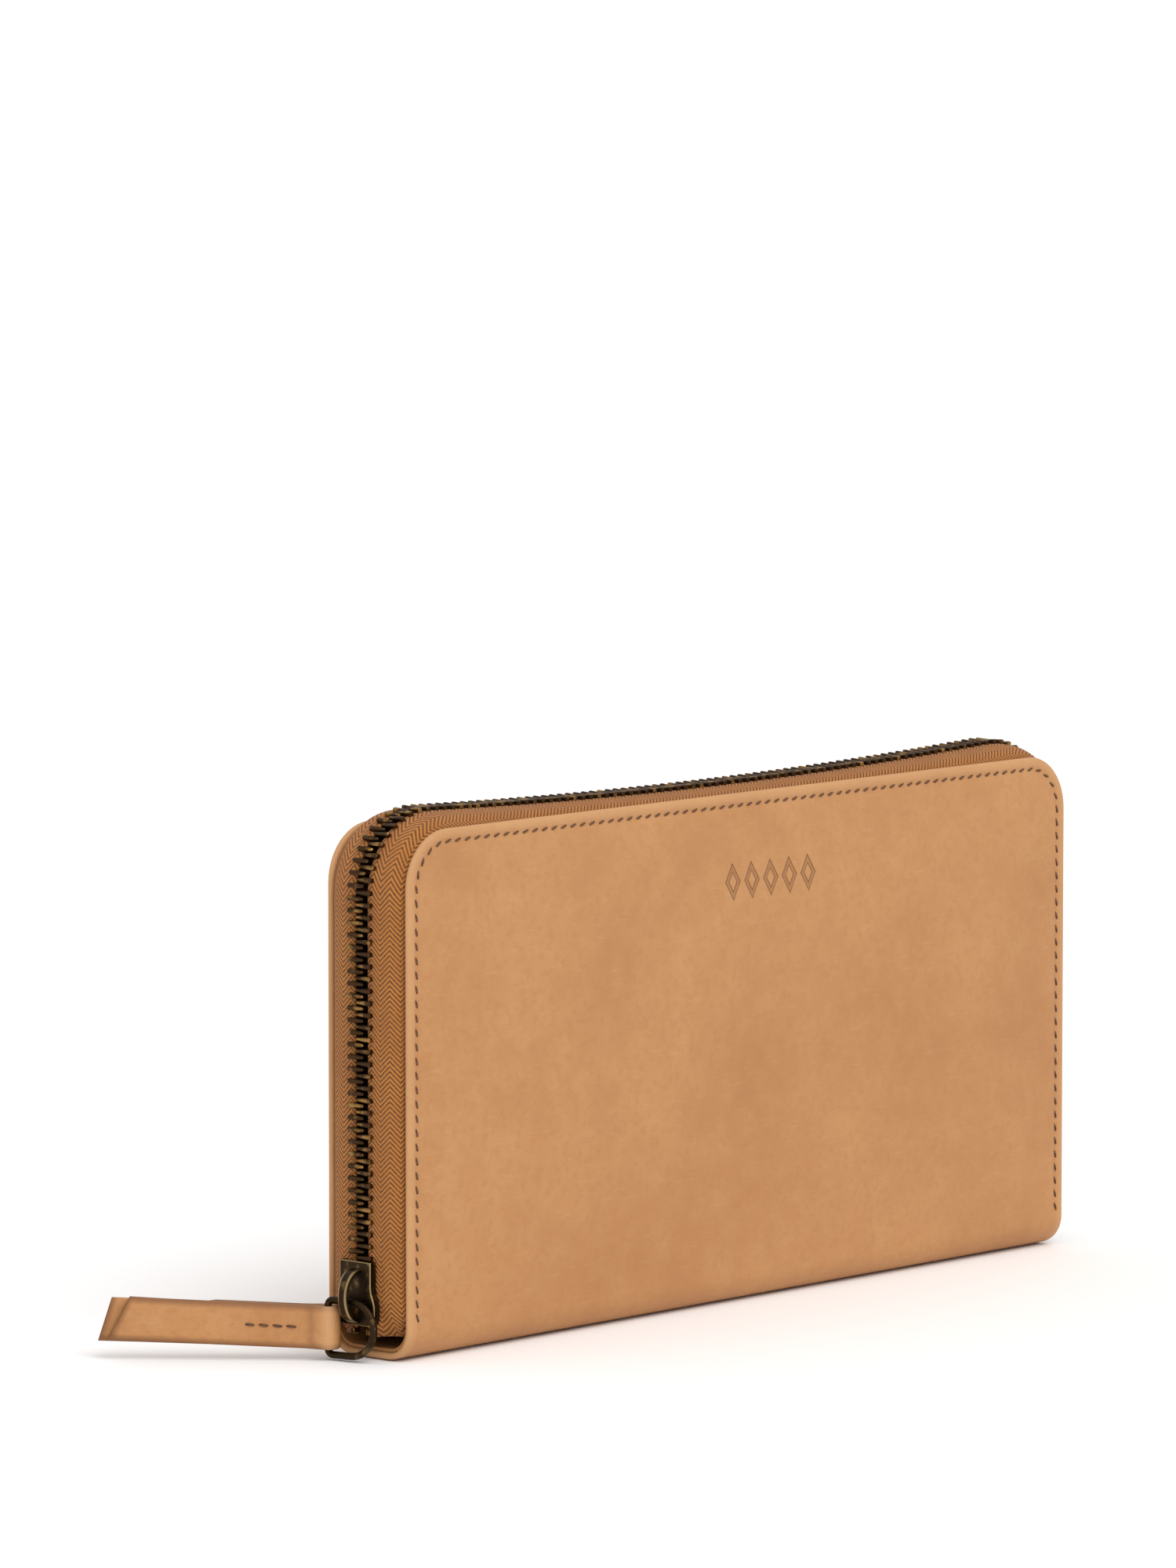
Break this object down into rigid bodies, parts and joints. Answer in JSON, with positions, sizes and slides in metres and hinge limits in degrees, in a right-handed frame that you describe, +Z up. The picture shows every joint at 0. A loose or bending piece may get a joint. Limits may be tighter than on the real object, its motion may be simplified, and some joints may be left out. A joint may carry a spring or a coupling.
{
  "type": "zip around wallet",
  "caption": "Long leather zip-around wallet, shut and standing on its spine, with a metal zip round three edges, a D-ring and a leather pull tab.",
  "frame": {"origin": "middle of the spine's underside, on the surface the wallet stands on", "axes": "+X along the wallet's length, away from the end where the zip slider is when shut; +Y through the thickness, towards the back; +Z up, from the spine to the zipped edge"},
  "size_m": [0.2317, 0.0473, 0.1034],
  "materials": {
    "cover_leather": "tan pull-up leather, matt, lightly scratched, with a paler turned edge",
    "lining_leather": "thin smooth tan leather",
    "zip_tape": "golden brown herringbone woven tape",
    "pleat_cloth": "brown woven lining cloth",
    "thread": "dark brown waxed thread",
    "board": "brown bonded leather board",
    "nylon_coil": "brown nylon coil",
    "antique_brass": "dark antique brass, worn brighter on the edges"
  },
  "bodies": {
    "back_half": {"back_card_slot_1": "lining_leather", "back_card_slot_2": "lining_leather", "back_card_slot_3": "lining_leather", "back_card_slot_4": "lining_leather", "back_card_slot_stitching": "thread", "back_cover_leather": "cover_leather", "back_edge_stitching": "thread", "back_lining": "lining_leather", "back_stiffener_board": "board", "back_zip_tape": "zip_tape", "back_zip_teeth_left": "antique_brass", "back_zip_teeth_right": "antique_brass", "back_zip_teeth_top": "antique_brass", "back_zip_top_stop": "antique_brass", "left_gusset": "pleat_cloth", "right_gusset": "pleat_cloth", "spine_leather": "cover_leather", "spine_lining": "lining_leather", "zip_bottom_stop": "antique_brass"},
    "front_half": {"front_card_slot_1": "lining_leather", "front_card_slot_2": "lining_leather", "front_card_slot_3": "lining_leather", "front_card_slot_4": "lining_leather", "front_card_slot_stitching": "thread", "front_cover_leather": "cover_leather", "front_edge_stitching": "thread", "front_lining": "lining_leather", "front_stiffener_board": "board", "front_zip_tape": "zip_tape", "front_zip_teeth_left": "antique_brass", "front_zip_teeth_right": "antique_brass", "front_zip_teeth_top": "antique_brass", "front_zip_top_stop": "antique_brass"},
    "zip_slider": {"zip_slider_body": "antique_brass"},
    "d_ring": {"d_ring": "antique_brass"},
    "pull_tab": {"pull_tab_leather": "cover_leather", "pull_tab_stitching_inner": "thread", "pull_tab_stitching_outer": "thread"},
    "coin_pocket": {"coin_pocket_back_wall": "lining_leather", "coin_pocket_edge_strip": "pleat_cloth", "coin_pocket_front_wall": "lining_leather", "coin_zip_coil_back": "nylon_coil", "coin_zip_coil_front": "nylon_coil", "coin_zip_stop_left": "antique_brass", "coin_zip_stop_right": "antique_brass", "coin_zip_tape_back": "zip_tape", "coin_zip_tape_front": "zip_tape"},
    "coin_slider": {"coin_slider_body": "antique_brass"},
    "coin_puller": {"coin_slider_pull": "antique_brass"}
  },
  "joints": [
    {"name": "cover_hinge", "type": "hinge", "parent": "back_half", "child": "front_half", "pos_m": [0, -0.0105, 0.006], "axis": [1, 0, 0], "range_deg": [0, 35], "deforming": ["left_gusset", "right_gusset", "front_zip_teeth_right", "back_zip_teeth_right"]},
    {"name": "coin_pocket_hinge", "type": "hinge", "parent": "back_half", "child": "coin_pocket", "pos_m": [0, 0, 0.004], "axis": [1, 0, 0], "range_deg": [0, 17.5]},
    {"name": "slider_travel", "type": "slide", "parent": "back_half", "child": "zip_slider", "axis": [0, 0, 1], "range_m": [0, 0.068], "deforming": ["front_zip_teeth_left", "back_zip_teeth_left"]},
    {"name": "ring_swing", "type": "hinge", "parent": "zip_slider", "child": "d_ring", "pos_m": [-0.1028, 0, 0.0113], "axis": [-0.1736, 0.9848, 0], "range_deg": [0, 90]},
    {"name": "tab_swivel", "type": "hinge", "parent": "d_ring", "child": "pull_tab", "pos_m": [-0.10362, 0.00463, 0.0061], "axis": [0, 0, 1], "range_deg": [-55, 40]},
    {"name": "coin_slider_travel", "type": "slide", "parent": "coin_pocket", "child": "coin_slider", "axis": [1, 0, 0], "range_m": [0, 0.149], "deforming": ["coin_zip_coil_front", "coin_zip_coil_back"]},
    {"name": "coin_pull_swing", "type": "hinge", "parent": "coin_slider", "child": "coin_puller", "pos_m": [-0.0745, 0, 0.0808], "axis": [0, -1, 0], "range_deg": [0, 170]}
  ],
  "couplings": [
    {"joint": "coin_pocket_hinge", "follows": "cover_hinge", "ratio": 0.5}
  ]
}
